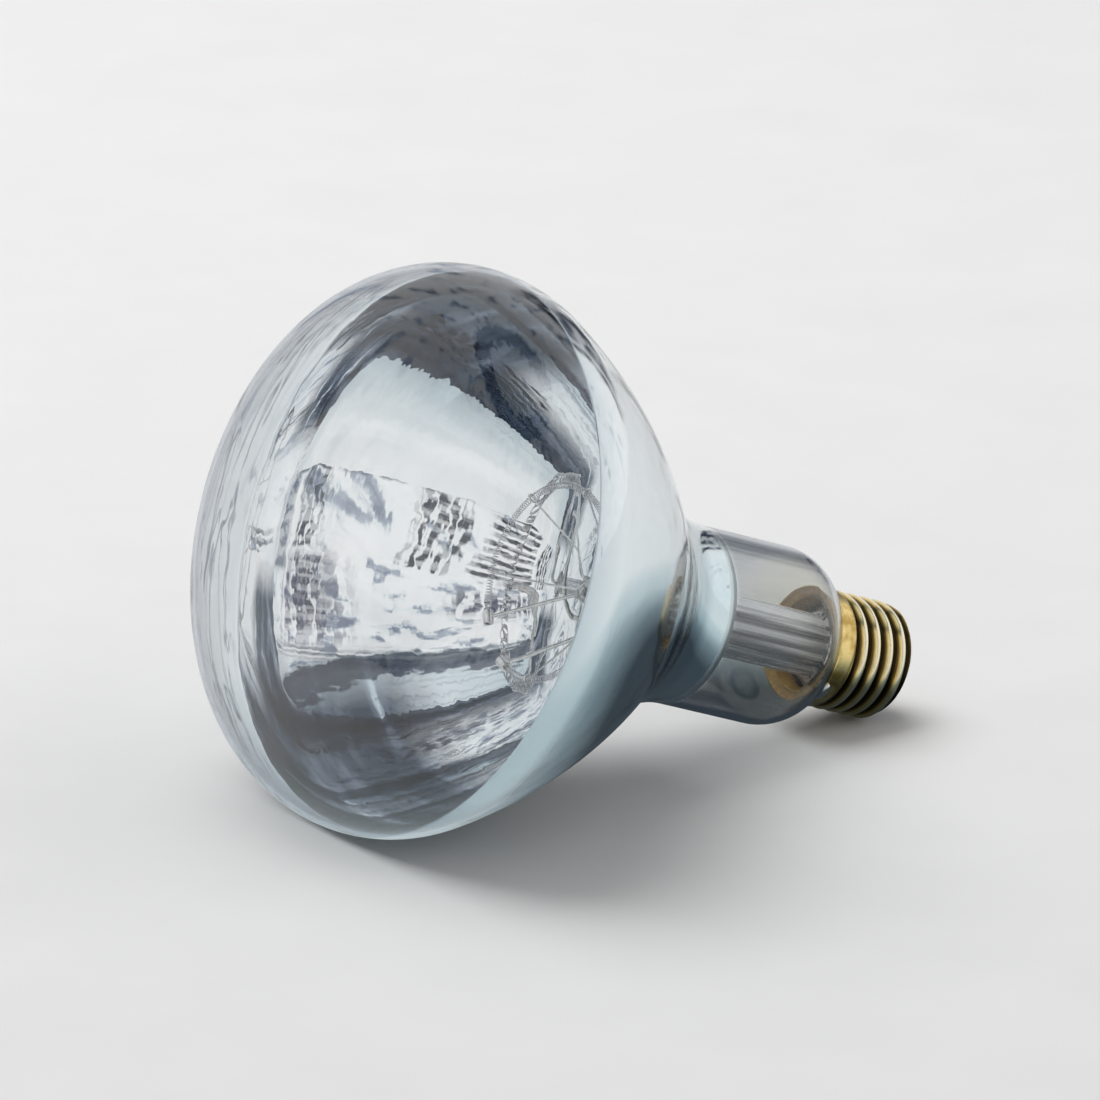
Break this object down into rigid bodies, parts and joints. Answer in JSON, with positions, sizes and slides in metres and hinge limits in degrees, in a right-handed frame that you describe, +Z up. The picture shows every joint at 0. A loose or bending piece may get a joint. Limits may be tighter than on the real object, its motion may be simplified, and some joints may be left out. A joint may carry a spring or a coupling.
{
  "type": "infrared heat lamp",
  "caption": "Clear-faced infrared reflector heat lamp with a silvered bowl, a wreath filament on wire supports and a brass E27 screw cap, lying on its side.",
  "frame": {"origin": "on the table, under the middle of the lying lamp's bounding box", "axes": "+Z up; +X the way the lamp's axis heads from the face to the cap, seen from above, the axis dropping 21.6 degrees toward the cap"},
  "size_m": [0.1671, 0.1248, 0.1196],
  "materials": {
    "clear_glass": "polished",
    "silvering": "mirror, satin from behind",
    "tungsten": "grey drawn wire",
    "nickel_wire": "drawn wire",
    "brass": "rolled, polished",
    "black_glass": "smooth",
    "solder": "bright, hand soldered",
    "cement": "matt, baked"
  },
  "bodies": {
    "root": {"glass_bulb": "clear_glass", "mirror_coating": "silvering", "stem": "clear_glass", "exhaust_tube": "clear_glass", "support_rod": "clear_glass", "filament": "tungsten", "lead_1": "nickel_wire", "lead_2": "nickel_wire", "lead_to_tip": "nickel_wire", "lead_to_skirt": "nickel_wire", "filament_support_1": "nickel_wire", "filament_support_2": "nickel_wire", "filament_support_3": "nickel_wire", "filament_support_4": "nickel_wire", "filament_support_5": "nickel_wire", "filament_support_6": "nickel_wire", "cap_shell": "brass", "cap_insulator": "black_glass", "centre_contact": "brass", "tip_solder": "solder", "side_solder": "solder", "basing_cement": "cement"}
  },
  "joints": []
}
